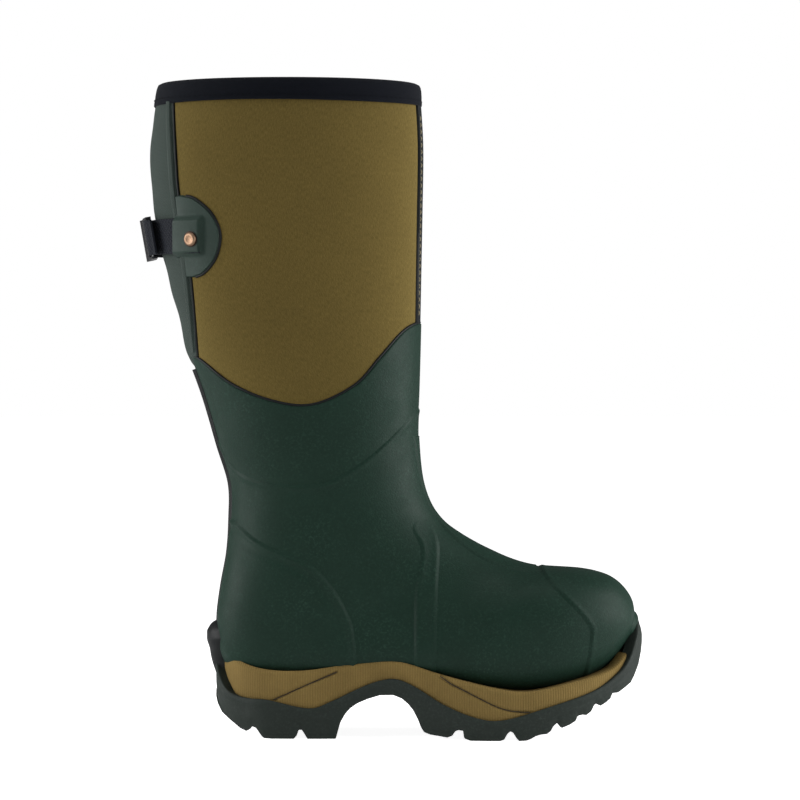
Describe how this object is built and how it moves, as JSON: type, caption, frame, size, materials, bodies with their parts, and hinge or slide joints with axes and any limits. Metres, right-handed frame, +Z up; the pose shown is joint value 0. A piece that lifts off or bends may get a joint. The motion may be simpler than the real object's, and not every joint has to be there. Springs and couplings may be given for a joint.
{
  "type": "insulated hunting boot",
  "caption": "Knee-high insulated rubber boot with a neoprene shaft, a buckled rear gusset, layered rubber foot overlays and a lugged outsole.",
  "frame": {"origin": "centre of the boot's bounding box, on the plane that the lugs stand on", "axes": "+X to the toe, +Y to the inner (medial) side of a right foot, +Z up towards the collar"},
  "size_m": [0.3477, 0.122, 0.4461],
  "materials": {
    "neoprene": "knit-faced neoprene, matte",
    "bootie_neoprene": "bare neoprene foam, matte",
    "gusset_fabric": "coated stretch weave, satin",
    "green_rubber": "pebbled hand-laid rubber, satin",
    "black_rubber": "smooth rubber, satin",
    "outsole_rubber": "moulded lugged rubber, satin",
    "tan_foam": "ribbed moulded foam, matte",
    "binding": "folded twill tape, matte",
    "webbing": "flat woven webbing, matte",
    "black_plastic": "moulded, glossy",
    "copper": "copper-plated, polished",
    "lining": "brushed fleece",
    "footbed_fabric": "foam under knit",
    "insole_board": "pressed fibre board",
    "steel": "plain"
  },
  "bodies": {
    "boot": {"collar_binding": "binding", "shaft_panel_lateral": "neoprene", "shaft_panel_medial": "neoprene", "front_seam_tape": "black_rubber", "gusset": "gusset_fabric", "gusset_strip_lateral": "gusset_fabric", "gusset_strip_medial": "gusset_fabric", "d_tab_lateral": "green_rubber", "d_tab_medial": "green_rubber", "rivet_lateral": "copper", "rivet_medial": "copper", "rivet_washer_lateral": "copper", "rivet_washer_medial": "copper", "keeper_webbing": "webbing", "adjuster_strap": "webbing", "rubber_cuff": "green_rubber", "rubber_foot": "green_rubber", "instep_strap_lateral": "green_rubber", "instep_strap_medial": "green_rubber", "heel_counter_lateral": "green_rubber", "heel_counter_medial": "green_rubber", "toe_cap": "green_rubber", "instep_guard": "green_rubber", "back_stay": "black_rubber", "bootie": "bootie_neoprene", "thermal_lining": "lining", "insole_board": "insole_board", "footbed": "footbed_fabric", "midsole": "tan_foam", "shank": "steel", "outsole": "outsole_rubber", "kick_spur": "black_rubber"},
    "buckle_frame": {"buckle": "black_plastic", "strap_tail": "webbing"}
  },
  "joints": [
    {"name": "buckle_hinge", "type": "hinge", "parent": "boot", "child": "buckle_frame", "pos_m": [-0.1656, -0.01121, 0.34], "axis": [-0.1727, -0.0181, 0.9848], "range_deg": [0, 25]}
  ]
}
